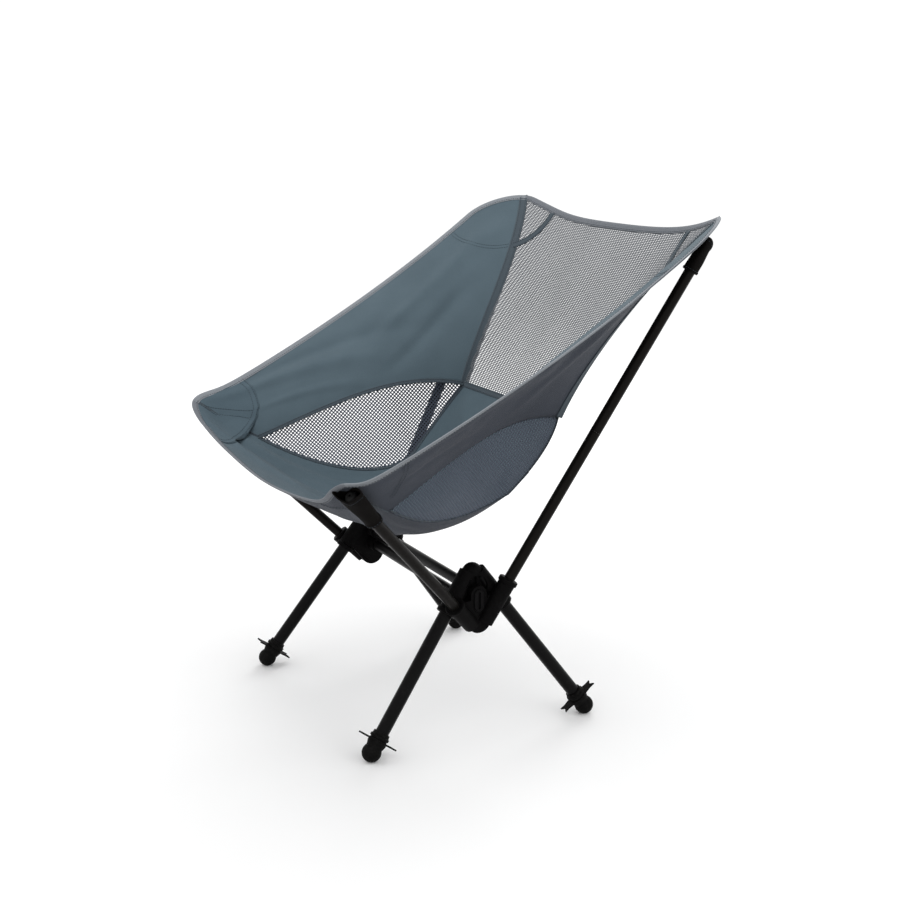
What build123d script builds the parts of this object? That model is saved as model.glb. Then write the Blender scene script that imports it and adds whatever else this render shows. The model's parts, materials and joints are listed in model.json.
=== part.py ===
"""Ultralight backpacking chair: a fabric sling on a shock-corded pole frame.

Row frame: +Z up, +X the sitter's left, the sitter faces -Y. The origin is on the floor, under
the middle of the whole chair. Everything is in millimetres.

Two moulded hubs, one each side, are joined by two cross tubes. Each hub has an inner pair of
sockets that open downwards for the legs and an outer pair that open upwards for the seat pole
and the upright. The legs pull out of their sockets against the shock cords inside them.
"""

import os

from build123d import *

os.makedirs("parts", exist_ok=True)

# ---------------------------------------------------------------- driving dimensions
HUB_Y = -38.7  # the hubs' own plane, behind which the back leans

# Leg axes: they meet inside the hub and end in the middle of the ball feet.
LEG_APEX = (149.0, 1.5, 221.2)
FRONT_FOOT = (177.3, -154.9, 12.0)
REAR_FOOT = (179.6, 154.9, 12.0)
LEG_RADIUS = 8.6
LEG_WALL = 1.0
LEG_SOCKET_BOTTOM = 16.0  # from the apex, along the leg
LEG_SOCKET_MOUTH = 70.0
LEG_END_GAP = 14.0  # from the ball's centre to the tube's lower end

# Upper poles: their axes nearly meet low in the outer layer of the hub.
SEAT_POLE_ROOT = (157.9, 2.6, 138.6)
SEAT_POLE_TIP = (255.5, -212.4, 367.1)
UPRIGHT_ROOT = (165.1, 2.6, 138.6)
UPRIGHT_TIP = (240.2, 281.2, 622.7)
POLE_RADIUS = 7.0
POLE_WALL = 0.8
SEAT_SOCKET_BOTTOM = 20.0
SEAT_SOCKET_MOUTH = 63.0
UPRIGHT_SOCKET_BOTTOM = 20.0
UPRIGHT_SOCKET_MOUTH = 77.0
UPRIGHT_JOINT = 292.0  # where the upright's two sections meet, from its root
FERRULE_HALF = 28.0
TIP_LENGTH = 7.0  # the pole tip's dome past the tube

FIT = 0.06  # radial clearance of a tube in its socket

# Cross tubes, one above the other, square to the hubs.
CROSS_RADIUS = 7.0
CROSS_WALL = 0.8
CROSS_HEIGHTS = (191.6, 171.3)
CROSS_END = 155.0
COLLAR_START = 127.0

# Hub body
WEB_INNER = 143.0
WEB_OUTER = 164.0
BOSS_OUTER = 171.0
BOSS_HEIGHT = 181.0
BOSS_HALF_WIDTH = 11.2
BOSS_HALF_LENGTH = 19.0
CAVITY_HALF_WIDTH = 7.0
CAVITY_HALF_LENGTH = 14.6
CAVITY_FLOOR = 156.0
ARM_CUT = 30.0  # where an arm becomes a piece of its own, from where its axes meet

# Feet
BALL_RADIUS = 12.4  # its lowest 0.4 mm is worn flat on the floor
WING_HEIGHT = 15.6  # from the ball's centre, along the leg
WING_THICKNESS = 2.0

# Shock cord
CORD_RADIUS = 1.5
CORD_START = 7.0  # from the point where a hub's axes meet
CHANNEL_RADIUS = 2.4
KNOT_RADIUS = 3.2

# Sling: corners and seams of the left half, relative to the hubs' plane
CORNER_FRONT = (268.0, -220.0, 370.0)
CORNER_BACK = (262.0, 276.0, 645.0)
SIDE_HEM_PULL = (282.0, 64.0, 502.0)
TOP_HEM_PULL = (0.0, 324.0, 611.0)
FRONT_HEM_PULL = (0.0, -212.0, 286.0)
WINDOW_FRONT = (212.0, -142.0, 327.0)
SEAT_BACK = (128.0, 145.0, 397.0)
SEAM_UPPER = ((185.0, -10.0, 394.0), (160.0, 70.0, 404.0))
SEAM_LOWER = ((180.0, -85.0, 285.0), (122.0, -5.0, 266.0))
WINDOW_LOW = (135.0, 64.0, 304.0)
WINDOW_BACK_PULL = (146.0, 117.0, 357.0)
BACK_SEAM = ((158.0, 255.0, 585.0), (124.0, 163.0, 470.0))
SEAT_BACK_PULL = (0.0, 167.0, 375.0)
CLOTH = 0.6
TAPE = 1.6

POCKET_RADIUS = 10.6
POCKET_BORE = 7.9
POCKET_LENGTH = 44.0
POCKET_CLEARANCE = 0.6


# ---------------------------------------------------------------- helpers
def at(point):
    """A point given from the hubs' plane, in the row frame."""
    return Vector(point[0], point[1] + HUB_Y, point[2])


def flip(point):
    """The same point on the other side of the chair."""
    return Vector(-point.X, point.Y, point.Z)


def heading(start, end):
    return (end - start).normalized()


def across(origin, direction):
    """A plane square to an axis, at a point on it."""
    return Plane(origin=origin, z_dir=direction)


def rod(start, end, radius, mode=Mode.ADD):
    """A round bar between two points, in the current part."""
    with BuildSketch(across(start, heading(start, end))) as disc:
        Circle(radius)
    extrude(disc.sketch, amount=(end - start).length, mode=mode)


def tube(start, end, radius, wall):
    rod(start, end, radius)
    rod(start, end, radius - wall, mode=Mode.SUBTRACT)


def turned(origin, direction, outline, mode=Mode.ADD):
    """A turned shape: outline is (radius, distance along the axis) from the origin."""
    side = across(origin, direction).x_dir
    frame = Plane(origin=origin, x_dir=side, z_dir=side.cross(direction))
    with BuildSketch(frame) as profile:
        with BuildLine():
            Polyline(*outline, close=True)
        make_face()
    revolve(profile.sketch, axis=Axis(origin, direction), mode=mode)


def save(part, name):
    part.label = name
    export_step(part, f"parts/{name}.step")


def save_pair(part, name):
    """The left piece as built, and its mirror image on the right."""
    with BuildPart() as other:
        mirror(part, about=Plane.YZ)
    save(part, f"{name}_left")
    save(other.part, f"{name}_right")


# ---------------------------------------------------------------- axes of the left side
leg_apex = at(LEG_APEX)
feet = {"front": at(FRONT_FOOT), "rear": at(REAR_FOOT)}
seat_root = at(SEAT_POLE_ROOT)
seat_tip = at(SEAT_POLE_TIP)
seat_way = heading(seat_root, seat_tip)
upright_root = at(UPRIGHT_ROOT)
upright_tip = at(UPRIGHT_TIP)
upright_way = heading(upright_root, upright_tip)
seat_end = (seat_tip - seat_root).length - TIP_LENGTH
upright_end = (upright_tip - upright_root).length - TIP_LENGTH


cord_channels = [
    (leg_apex, heading(leg_apex, feet["front"]), LEG_SOCKET_BOTTOM),
    (leg_apex, heading(leg_apex, feet["rear"]), LEG_SOCKET_BOTTOM),
    (seat_root, seat_way, SEAT_SOCKET_BOTTOM),
    (upright_root, upright_way, UPRIGHT_SOCKET_BOTTOM),
]


# ---------------------------------------------------------------- hub
def socket_arm(root, way, bottom, mouth, radius):
    """A round arm with a raised rim at its mouth."""
    rim = radius + 1.6
    turned(
        root,
        way,
        [
            (0, bottom),
            (radius, bottom),
            (radius, mouth - 7),
            (rim, mouth - 6),
            (rim, mouth - 1),
            (rim - 1, mouth),
            (0, mouth),
        ],
    )


def stadium(x, height, half_width, half_length, amount, mode=Mode.ADD):
    """An upright stadium on the hub's face, pushed outwards."""
    with BuildSketch(Plane.YZ.offset(x)) as face:
        with Locations((HUB_Y, height)):
            SlotOverall(2 * half_length, 2 * half_width, rotation=90)
    extrude(face.sketch, amount=amount, mode=mode)


with BuildPart() as hub:
    # inner layer: leg arms and the dome over them
    for foot in feet.values():
        way = heading(leg_apex, foot)
        socket_arm(leg_apex, way, LEG_SOCKET_BOTTOM - 6, LEG_SOCKET_MOUTH, LEG_RADIUS + 3.2)
    with Locations(at((150.0, 1.0, 212.5))):
        Sphere(13.0)
    # outer layer: the two upward arms and the round keel between them
    socket_arm(seat_root, seat_way, SEAT_SOCKET_BOTTOM - 6, SEAT_SOCKET_MOUTH, POLE_RADIUS + 4.2)
    socket_arm(
        upright_root, upright_way, UPRIGHT_SOCKET_BOTTOM - 6, UPRIGHT_SOCKET_MOUTH, POLE_RADIUS + 4.2
    )
    with BuildSketch(Plane.YZ.offset(WEB_INNER + 6)) as keel:
        with Locations((HUB_Y + 1, 154.5)):
            Circle(17.0)
        with Locations((HUB_Y - 22, 172.0), (HUB_Y + 24, 178.0)):
            Circle(9.0)
        make_hull()
    extrude(amount=BOSS_OUTER - WEB_INNER - 7)
    # web that ties both layers together
    with BuildSketch(Plane.YZ.offset(WEB_INNER)) as web:
        with Locations((HUB_Y + 1, 211.0)):
            Circle(12.0)
        with Locations((HUB_Y - 28, 176.0), (HUB_Y + 29, 178.0)):
            Circle(8.0)
        with Locations((HUB_Y + 1, 156.0)):
            Circle(12.0)
        make_hull()
    extrude(amount=WEB_OUTER - WEB_INNER - 6)
    # collars of the cross tubes, on the inner side
    for height in CROSS_HEIGHTS:
        with BuildSketch(Plane.YZ.offset(COLLAR_START)):
            with Locations((HUB_Y, height)):
                Circle(CROSS_RADIUS + 3.0)
        extrude(amount=WEB_INNER - COLLAR_START + 2)
    # recess between the arms, and the boss that stands in it
    with BuildSketch(Plane.YZ.offset(BOSS_OUTER)):
        with Locations((HUB_Y + 1, 196.0)):
            Circle(15.0)
        with Locations((HUB_Y + 1, 165.0)):
            Circle(4.0)
        make_hull()
    extrude(amount=-(BOSS_OUTER - WEB_OUTER + 6), mode=Mode.SUBTRACT)
    stadium(WEB_OUTER - 8, BOSS_HEIGHT, BOSS_HALF_WIDTH, BOSS_HALF_LENGTH, BOSS_OUTER - WEB_OUTER + 7)
    # sockets
    for foot in feet.values():
        way = heading(leg_apex, foot)
        start = leg_apex + way * LEG_SOCKET_BOTTOM
        rod(start, leg_apex + way * (LEG_SOCKET_MOUTH + 8), LEG_RADIUS + FIT, mode=Mode.SUBTRACT)
    rod(
        seat_root + seat_way * SEAT_SOCKET_BOTTOM,
        seat_root + seat_way * (SEAT_SOCKET_MOUTH + 8),
        POLE_RADIUS + FIT,
        mode=Mode.SUBTRACT,
    )
    rod(
        upright_root + upright_way * UPRIGHT_SOCKET_BOTTOM,
        upright_root + upright_way * (UPRIGHT_SOCKET_MOUTH + 8),
        POLE_RADIUS + FIT,
        mode=Mode.SUBTRACT,
    )
    for height in CROSS_HEIGHTS:
        rod(
            at((COLLAR_START - 4, 0, height)),
            at((CROSS_END + FIT, 0, height)),
            CROSS_RADIUS + FIT,
            mode=Mode.SUBTRACT,
        )
    # cavity for the cord knots, closed by the cap, and its channels to the sockets
    stadium(CAVITY_FLOOR, BOSS_HEIGHT, CAVITY_HALF_WIDTH, CAVITY_HALF_LENGTH, 30, mode=Mode.SUBTRACT)
    for root, way, bottom in cord_channels:
        rod(root + way * (CORD_START - 2), root + way * (bottom + 1), CHANNEL_RADIUS, Mode.SUBTRACT)
    for height in (leg_apex.Z - CORD_START, seat_root.Z + CORD_START + 1):
        passage_end = at((CAVITY_FLOOR, 1.5, height))
        rod(at((CAVITY_FLOOR + 3, 0, BOSS_HEIGHT)), passage_end, CHANNEL_RADIUS, Mode.SUBTRACT)

# The hub is one moulding. Its arms are cut off as simpler pieces, so that collision can follow them.
arms = {
    "hub_leg_arm_front": (leg_apex, heading(leg_apex, feet["front"]), LEG_SOCKET_MOUTH, LEG_RADIUS + 3.2),
    "hub_leg_arm_rear": (leg_apex, heading(leg_apex, feet["rear"]), LEG_SOCKET_MOUTH, LEG_RADIUS + 3.2),
    "hub_seat_arm": (seat_root, seat_way, SEAT_SOCKET_MOUTH, POLE_RADIUS + 4.2),
    "hub_upright_arm": (upright_root, upright_way, UPRIGHT_SOCKET_MOUTH, POLE_RADIUS + 4.2),
}
hub_core = hub.part
for name, (root, way, mouth, radius) in arms.items():
    with BuildPart() as arm_space:
        socket_arm(root, way, ARM_CUT, mouth + 0.4, radius + 0.3)
    save_pair(Part() + (hub_core & arm_space.part), name)
    hub_core = hub_core - arm_space.part
# three crumbs of the arms' rims, cut free by the other arms, are dropped
save_pair(Part() + hub_core.solids().sort_by(SortBy.VOLUME)[-1], "hub")

with BuildPart() as hub_cap:
    cap_start = CAVITY_FLOOR + 8.5
    stadium(
        cap_start,
        BOSS_HEIGHT,
        CAVITY_HALF_WIDTH - 0.1,
        CAVITY_HALF_LENGTH - 0.1,
        BOSS_OUTER + 0.6 - cap_start,
    )
    chamfer(hub_cap.faces().sort_by(Axis.X)[-1].edges(), 0.6)
    stadium(BOSS_OUTER - 1.6, BOSS_HEIGHT, 1.8, 11.5, 4, mode=Mode.SUBTRACT)
save_pair(hub_cap.part, "hub_cap")

# ---------------------------------------------------------------- cross tubes
for name, height in zip(("cross_tube_upper", "cross_tube_lower"), CROSS_HEIGHTS):
    with BuildPart() as cross_tube:
        tube(at((-CROSS_END, 0, height)), at((CROSS_END, 0, height)), CROSS_RADIUS, CROSS_WALL)
    save(cross_tube.part, name)


# ---------------------------------------------------------------- legs and feet
def wing_outline():
    """One end of the foot's thin wing, with its two points."""
    root = 8.5
    return [
        (9.0, -root),
        (19.5, -6.2),
        (27.0, -6.6),
        (23.0, 0.0),
        (27.0, 6.6),
        (19.5, 6.2),
        (9.0, root),
    ]


for name, foot in feet.items():
    up = heading(foot, leg_apex)
    reach = (leg_apex - foot).length
    top = foot + up * (reach - LEG_SOCKET_BOTTOM - 0.5)
    low = foot + up * LEG_END_GAP
    with BuildPart() as leg_tube:
        tube(low, top, LEG_RADIUS, LEG_WALL)
    save_pair(leg_tube.part, f"leg_tube_{name}")

    with BuildPart() as foot_body:
        with Locations(foot):
            Sphere(BALL_RADIUS)
        turned(
            foot,
            up,
            [
                (0, 0),
                (11.4, 2.5),
                (10.6, 7.0),
                (12.2, 12.0),
                (12.6, 16.5),
                (11.2, 17.0),
                (11.2, 18.5),
                (12.6, 19.0),
                (12.6, 22.0),
                (11.0, 23.0),
                (10.6, 27.0),
                (0, 27.0),
            ],
        )
        # the wing's length lies in the side plane, square to the leg
        wing_plane = Plane(
            origin=foot + up * (WING_HEIGHT - WING_THICKNESS / 2),
            x_dir=up.cross(Vector(1, 0, 0)).normalized(),
            z_dir=up,
        )
        with BuildSketch(wing_plane):
            with BuildLine():
                Polyline(*wing_outline(), close=True)
            make_face()
            mirror(about=Plane.YZ)
        extrude(amount=WING_THICKNESS)
        rod(low, foot + up * 40, LEG_RADIUS + FIT, mode=Mode.SUBTRACT)
        # a small wear flat where the ball meets the floor
        with Locations((foot.X, foot.Y, -5.0)):
            Box(40, 40, 10, mode=Mode.SUBTRACT)
    save_pair(foot_body.part, f"foot_{name}")

    with BuildPart() as leg_plug:
        rod(low + up * 7.2, low + up * 19.0, LEG_RADIUS - LEG_WALL - 0.05)
        rod(low, low + up * 20.0, CORD_RADIUS + 0.3, mode=Mode.SUBTRACT)
    save_pair(leg_plug.part, f"leg_plug_{name}")

# ---------------------------------------------------------------- upper poles
with BuildPart() as seat_pole:
    tube(
        seat_root + seat_way * (SEAT_SOCKET_BOTTOM + 0.5),
        seat_root + seat_way * seat_end,
        POLE_RADIUS,
        POLE_WALL,
    )
save_pair(seat_pole.part, "seat_pole")

with BuildPart() as upright_lower:
    tube(
        upright_root + upright_way * (UPRIGHT_SOCKET_BOTTOM + 0.5),
        upright_root + upright_way * UPRIGHT_JOINT,
        POLE_RADIUS,
        POLE_WALL,
    )
save_pair(upright_lower.part, "upright_lower")

with BuildPart() as upright_upper:
    tube(
        upright_root + upright_way * (UPRIGHT_JOINT + 0.1),
        upright_root + upright_way * upright_end,
        POLE_RADIUS,
        POLE_WALL,
    )
save_pair(upright_upper.part, "upright_upper")

with BuildPart() as ferrule:
    middle = upright_root + upright_way * UPRIGHT_JOINT
    tube(
        middle - upright_way * FERRULE_HALF,
        middle + upright_way * FERRULE_HALF,
        POLE_RADIUS - POLE_WALL - 0.05,
        0.8,
    )
save_pair(ferrule.part, "ferrule")


def pole_tip(root, way, end):
    """A moulded tip: a plug in the tube and a domed head, bored for the cord's knot."""
    head = POLE_RADIUS + 0.5
    turned(
        root,
        way,
        [
            (CORD_RADIUS + 0.3, end - 12),
            (POLE_RADIUS - POLE_WALL - 0.05, end - 12),
            (POLE_RADIUS - POLE_WALL - 0.05, end),
            (head, end),
            (head, end + 3.5),
            (head - 1.2, end + 5.6),
            (head - 3.4, end + TIP_LENGTH),
            (CORD_RADIUS + 0.3, end + TIP_LENGTH),
        ],
    )


with BuildPart() as seat_pole_tip:
    pole_tip(seat_root, seat_way, seat_end)
save_pair(seat_pole_tip.part, "seat_pole_tip")

with BuildPart() as upright_tip_cap:
    pole_tip(upright_root, upright_way, upright_end)
save_pair(upright_tip_cap.part, "upright_tip")


# ---------------------------------------------------------------- shock cords
for name, foot in feet.items():
    way = heading(leg_apex, foot)
    knot = foot - way * (LEG_END_GAP + 3.6)
    with BuildPart() as leg_cord:
        rod(leg_apex + way * CORD_START, knot, CORD_RADIUS)
        with Locations(knot):
            Sphere(KNOT_RADIUS)
    save_pair(leg_cord.part, f"leg_cord_{name}")

with BuildPart() as seat_cord:
    rod(seat_root + seat_way * CORD_START, seat_root + seat_way * (seat_end + 4), CORD_RADIUS)
save_pair(seat_cord.part, "seat_pole_cord")

with BuildPart() as upright_cord:
    rod(
        upright_root + upright_way * CORD_START,
        upright_root + upright_way * (upright_end + 4),
        CORD_RADIUS,
    )
save_pair(upright_cord.part, "upright_cord")


# ---------------------------------------------------------------- sling
def bezier(points, t):
    """A point at t on the curve with these two, three or four control points."""
    while len(points) > 1:
        points = [a + (b - a) * t for a, b in zip(points, points[1:])]
    return points[0]


corner_front = at(CORNER_FRONT)
corner_back = at(CORNER_BACK)
window_front = at(WINDOW_FRONT)
seat_back = at(SEAT_BACK)
window_low = at(WINDOW_LOW)


def side_hem(t):
    return bezier([corner_front, at(SIDE_HEM_PULL), corner_back], t)


def top_hem(t):
    return bezier([flip(corner_back), at(TOP_HEM_PULL), corner_back], t)


def front_hem(t):
    return bezier([flip(corner_front), at(FRONT_HEM_PULL), corner_front], t)


def upper_seam(t):
    """Lower edge of the solid side panel, from front to back."""
    return bezier([window_front, at(SEAM_UPPER[0]), at(SEAM_UPPER[1]), seat_back], t)


def lower_seam(t):
    """Edge between the mesh window and the seat, then up the window's rear end."""
    turn = 0.72
    if t < turn:
        points = [window_front, at(SEAM_LOWER[0]), at(SEAM_LOWER[1]), window_low]
        return bezier(points, t / turn)
    return bezier([window_low, at(WINDOW_BACK_PULL), seat_back], (t - turn) / (1 - turn))


def front_seam(t):
    return bezier([corner_front, window_front], t)


def back_seam(t):
    """Edge between the side panel and the back, from the seat up to the corner."""
    return bezier([seat_back, at(BACK_SEAM[1]), at(BACK_SEAM[0]), corner_back], t)


def seat_edge(t):
    """Left edge of the seat panel, from the front corner to the back of the seat."""
    turn = 0.16
    if t < turn:
        return front_seam(t / turn)
    return lower_seam((t - turn) / (1 - turn))


def seat_rear(t):
    return bezier([flip(seat_back), at(SEAT_BACK_PULL), seat_back], t)


def mirrored(curve):
    return lambda t: flip(curve(t))


def patch_point(low, high, start, end, u, v):
    """A point of the surface stretched between four edges: u runs along low and high."""
    along = low(u) * (1 - v) + high(u) * v
    between = start(v) * (1 - u) + end(v) * u
    corners = (low(0) * (1 - u) + low(1) * u) * (1 - v) + (high(0) * (1 - u) + high(1) * u) * v
    return along + between - corners


def cloth(edges, u_range, v_range, counts, thickness):
    """A closed sheet of cloth over part of a patch."""
    grid = []
    for i in range(counts[0]):
        u = u_range[0] + (u_range[1] - u_range[0]) * i / (counts[0] - 1)
        row = []
        for j in range(counts[1]):
            v = v_range[0] + (v_range[1] - v_range[0]) * j / (counts[1] - 1)
            row.append(patch_point(*edges, u, v))
        grid.append(row)
    face = Face.make_surface_from_array_of_points(grid)
    thicken(face, amount=thickness / 2, both=True)


def pocket_room(root, way, end, corner, mode, grow=0.0):
    """The outer shape of a corner pocket: a sleeve on the pole's end and a nose to the corner."""
    radius = POCKET_RADIUS + grow
    closed_end = root + way * (end + TIP_LENGTH + 1.5)
    rod(root + way * (end + TIP_LENGTH + 1.5 - POCKET_LENGTH - grow), closed_end, radius, mode)
    nose = corner - closed_end
    with BuildSketch(across(closed_end, way)) as base:
        Circle(radius)
    with BuildSketch(across(closed_end + nose, way)) as point:
        Circle(4.5 + grow)
    loft([base.sketch, point.sketch], mode=mode)


def pocket(root, way, end, corner):
    pocket_room(root, way, end, corner, Mode.ADD)
    mouth = root + way * (end + TIP_LENGTH + 1.5 - POCKET_LENGTH)
    rod(mouth, root + way * (end + TIP_LENGTH + 0.1), POCKET_BORE, mode=Mode.SUBTRACT)


front_pocket_place = (seat_root, seat_way, seat_end, corner_front)
back_pocket_place = (upright_root, upright_way, upright_end, corner_back)

with BuildPart() as corner_pocket_front:
    pocket(*front_pocket_place)
save_pair(corner_pocket_front.part, "corner_pocket_front")

with BuildPart() as corner_pocket_back:
    pocket(*back_pocket_place)
save_pair(corner_pocket_back.part, "corner_pocket_back")


# ---------------------------------------------------------------- panels of the sling
GAP = 0.006  # share of a panel left open at each seam
SIDE_HEM_SHARE = 0.045  # share of a panel's width taken by its edge tape
TOP_HEM_SHARE = 0.03
FRONT_HEM_SHARE = 0.025
LENS_END = 0.05  # where the mesh window's pointed ends stop

side_edges = (side_hem, upper_seam, front_seam, lambda t: back_seam(1 - t))
window_edges = (upper_seam, lower_seam, lambda t: window_front, lambda t: seat_back)
seat_edges = (mirrored(seat_edge), seat_edge, front_hem, seat_rear)
back_edges = (mirrored(back_seam), back_seam, seat_rear, top_hem)


def clear_pockets(sides):
    """Leaves room for the corner pockets."""
    for place in (front_pocket_place, back_pocket_place):
        with BuildPart(mode=Mode.PRIVATE) as room:
            pocket_room(*place, Mode.ADD, POCKET_CLEARANCE)
        add(room.part, mode=Mode.SUBTRACT)
        if sides == 2:
            add(room.part.mirror(Plane.YZ), mode=Mode.SUBTRACT)


with BuildPart() as side_panel:
    cloth(side_edges, (GAP, 1 - GAP), (SIDE_HEM_SHARE + GAP, 1 - GAP), (15, 9), CLOTH)
    clear_pockets(1)
save_pair(side_panel.part, "side_panel")

with BuildPart() as side_mesh:
    cloth(window_edges, (LENS_END, 1 - LENS_END), (2 * GAP, 1 - 2 * GAP), (21, 7), CLOTH)
save_pair(side_mesh.part, "side_mesh")

with BuildPart() as seat_panel:
    cloth(seat_edges, (FRONT_HEM_SHARE + GAP, 1 - GAP), (GAP, 1 - GAP), (25, 13), CLOTH)
    clear_pockets(2)
save(seat_panel.part, "seat_panel")

with BuildPart() as back_mesh:
    cloth(back_edges, (GAP, 1 - TOP_HEM_SHARE - GAP), (GAP, 1 - GAP), (15, 13), CLOTH)
    clear_pockets(2)
save(back_mesh.part, "back_mesh")

with BuildPart() as side_tape:
    cloth(side_edges, (GAP, 1 - GAP), (0, SIDE_HEM_SHARE), (15, 2), TAPE)
    clear_pockets(1)
save_pair(side_tape.part, "side_tape")

with BuildPart() as top_tape:
    cloth(back_edges, (1 - TOP_HEM_SHARE, 1), (GAP, 1 - GAP), (2, 13), TAPE)
    clear_pockets(2)
save(top_tape.part, "top_tape")

with BuildPart() as front_tape:
    cloth(seat_edges, (0, FRONT_HEM_SHARE), (GAP, 1 - GAP), (2, 13), TAPE)
    clear_pockets(2)
save(front_tape.part, "front_tape")
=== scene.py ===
import json
import math

import bpy
import numpy as np
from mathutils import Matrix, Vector
from mathutils.bvhtree import BVHTree


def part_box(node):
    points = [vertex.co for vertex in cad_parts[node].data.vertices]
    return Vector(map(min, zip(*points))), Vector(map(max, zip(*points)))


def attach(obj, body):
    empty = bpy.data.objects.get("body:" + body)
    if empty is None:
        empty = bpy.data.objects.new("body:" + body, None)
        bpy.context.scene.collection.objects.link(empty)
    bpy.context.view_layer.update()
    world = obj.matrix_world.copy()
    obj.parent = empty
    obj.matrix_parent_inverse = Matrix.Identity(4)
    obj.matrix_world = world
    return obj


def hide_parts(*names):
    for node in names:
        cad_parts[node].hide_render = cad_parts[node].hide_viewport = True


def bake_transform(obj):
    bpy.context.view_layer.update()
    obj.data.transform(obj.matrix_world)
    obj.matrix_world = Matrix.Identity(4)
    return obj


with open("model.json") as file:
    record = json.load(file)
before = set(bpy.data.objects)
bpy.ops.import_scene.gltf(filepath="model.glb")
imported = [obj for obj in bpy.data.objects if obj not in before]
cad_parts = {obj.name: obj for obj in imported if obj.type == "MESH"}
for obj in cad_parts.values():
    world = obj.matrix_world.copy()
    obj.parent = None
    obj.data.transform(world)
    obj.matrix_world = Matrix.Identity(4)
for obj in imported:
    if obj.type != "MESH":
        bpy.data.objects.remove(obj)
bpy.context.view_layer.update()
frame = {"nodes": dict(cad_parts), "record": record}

HUB_Y = -38.7  # mm, the hubs' plane; the sling's points below are given from it
BODY = "frame"


# ================================================================ curves
def mm(x, y, z):
    """A point given in millimetres from the hubs' plane, in metres."""
    return np.array((x, y + HUB_Y, z)) / 1000.0


def bezier(points, count=160):
    t = np.linspace(0, 1, count)[:, None]
    level = [np.tile(p, (count, 1)) for p in points]
    while len(level) > 1:
        level = [a + (b - a) * t for a, b in zip(level, level[1:])]
    return level[0]


def lengths(points):
    steps = np.linalg.norm(np.diff(points, axis=0), axis=1)
    return np.concatenate(([0.0], np.cumsum(steps)))


def part_of(points, start, end, count):
    """Evenly spaced points from one length along the line to another."""
    along = lengths(points)
    wanted = np.linspace(start, end, count)
    return np.stack([np.interp(wanted, along, points[:, k]) for k in range(3)], axis=1)


def even(points, count):
    return part_of(points, 0.0, lengths(points)[-1], count)


def join(*lines):
    out = [lines[0]]
    for line in lines[1:]:
        out.append(line[1:] if np.linalg.norm(line[0] - out[-1][-1]) < 1e-7 else line)
    return np.concatenate(out)


def flip(points):
    return points * np.array((-1.0, 1.0, 1.0))


def nearest_length(points, place):
    """How far along the line its nearest point to a place is."""
    fine = even(points, 2000)
    return lengths(fine)[np.argmin(np.linalg.norm(fine - place, axis=1))]


def smooth(x):
    x = np.clip(x, 0.0, 1.0)
    return x * x * (3 - 2 * x)


# ================================================================ the sling's outline and seams, left half
CORNER_FRONT = mm(269, -236, 365)
CORNER_BACK = mm(285, 293, 667)
SIDE_HEM = bezier([CORNER_FRONT, mm(280, 83, 503), CORNER_BACK])
TOP_HEM = bezier([mm(0, 309, 625.5), mm(150, 309, 625.5), mm(155, 332, 629), CORNER_BACK])
FRONT_HEM = bezier([mm(0, -218, 325), mm(90, -218, 325), mm(190, -212, 339), CORNER_FRONT])


def rounded(first, second, first_cut, second_cut, fullness):
    """Two lines that meet in a corner, cut back and joined by a rounder or flatter curve."""
    a = part_of(first, 0, lengths(first)[-1] - first_cut, 160)
    b = part_of(second, second_cut, lengths(second)[-1], 160)
    pulls = [p * (1 - fullness) + first[-1] * fullness for p in (a[-1], b[0])]
    return a, bezier([a[-1], *pulls, b[0]], 60), b


_front, _front_arc, _side = rounded(FRONT_HEM, SIDE_HEM, 0.060, 0.060, 0.80)
_side, _back_arc, _top = rounded(_side, TOP_HEM[::-1], 0.078, 0.072, 0.46)
OUTLINE = join(_front, _front_arc, _side, _back_arc, _top)
ARC_MIDDLE = lengths(_front)[-1] + 0.5 * lengths(_front_arc)[-1]


def arched(points, rise, before, after):
    """The outline lifted where it passes over the seat pole's tip; before and after are the lift's widths."""
    off = lengths(points) - (ARC_MIDDLE - 0.006)
    lift = np.exp(-((off / np.where(off < 0, before, after)) ** 2))
    return points + lift[:, None] * np.array((0.0, 0.001, rise))


# The pole's tip pushes the left hem up in a sharp arch and the right one in a broad one.
HEMS = {"left": arched(OUTLINE, 0.013, 0.050, 0.024), "right": arched(OUTLINE, 0.009, 0.060, 0.050)}
ARC_MIDDLE_INDEX = np.argmin(np.abs(lengths(OUTLINE) - ARC_MIDDLE))
FRONT_AT = {hand: nearest_length(hem, hem[ARC_MIDDLE_INDEX]) for hand, hem in HEMS.items()}
BACK_SEAM_TOP = mm(226, 290, 646.5)
BACK_AT = {hand: nearest_length(hem, BACK_SEAM_TOP) for hand, hem in HEMS.items()}

WINDOW_FRONT = mm(213, -144, 329)
SEAT_BACK = mm(127, 141, 394)
UPPER_SEAM = bezier([WINDOW_FRONT, mm(184, -44.5, 370), mm(156, 43, 419), SEAT_BACK])
LOWER_SEAM = join(
    bezier([WINDOW_FRONT, mm(186, -86, 290), mm(104, 3, 262), mm(133, 63, 302)]),
    bezier([mm(133, 63, 302), mm(146, 119, 357), SEAT_BACK]),
)


def front_seam(hem, length):
    start = part_of(hem, length, length, 1)[0]
    return bezier([start, (start + WINDOW_FRONT) / 2 - np.array((0, 0, 0.004)), WINDOW_FRONT])


FRONT_SEAMS = {hand: front_seam(hem, FRONT_AT[hand]) for hand, hem in HEMS.items()}
back_point = part_of(OUTLINE, BACK_AT["right"], BACK_AT["right"], 1)[0]
BACK_SEAM = bezier([SEAT_BACK, mm(141, 171, 468), mm(166, 254, 573), back_point])
SEAT_REAR = bezier([flip(SEAT_BACK), mm(-60, 160, 386), mm(60, 160, 386), SEAT_BACK])


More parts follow.
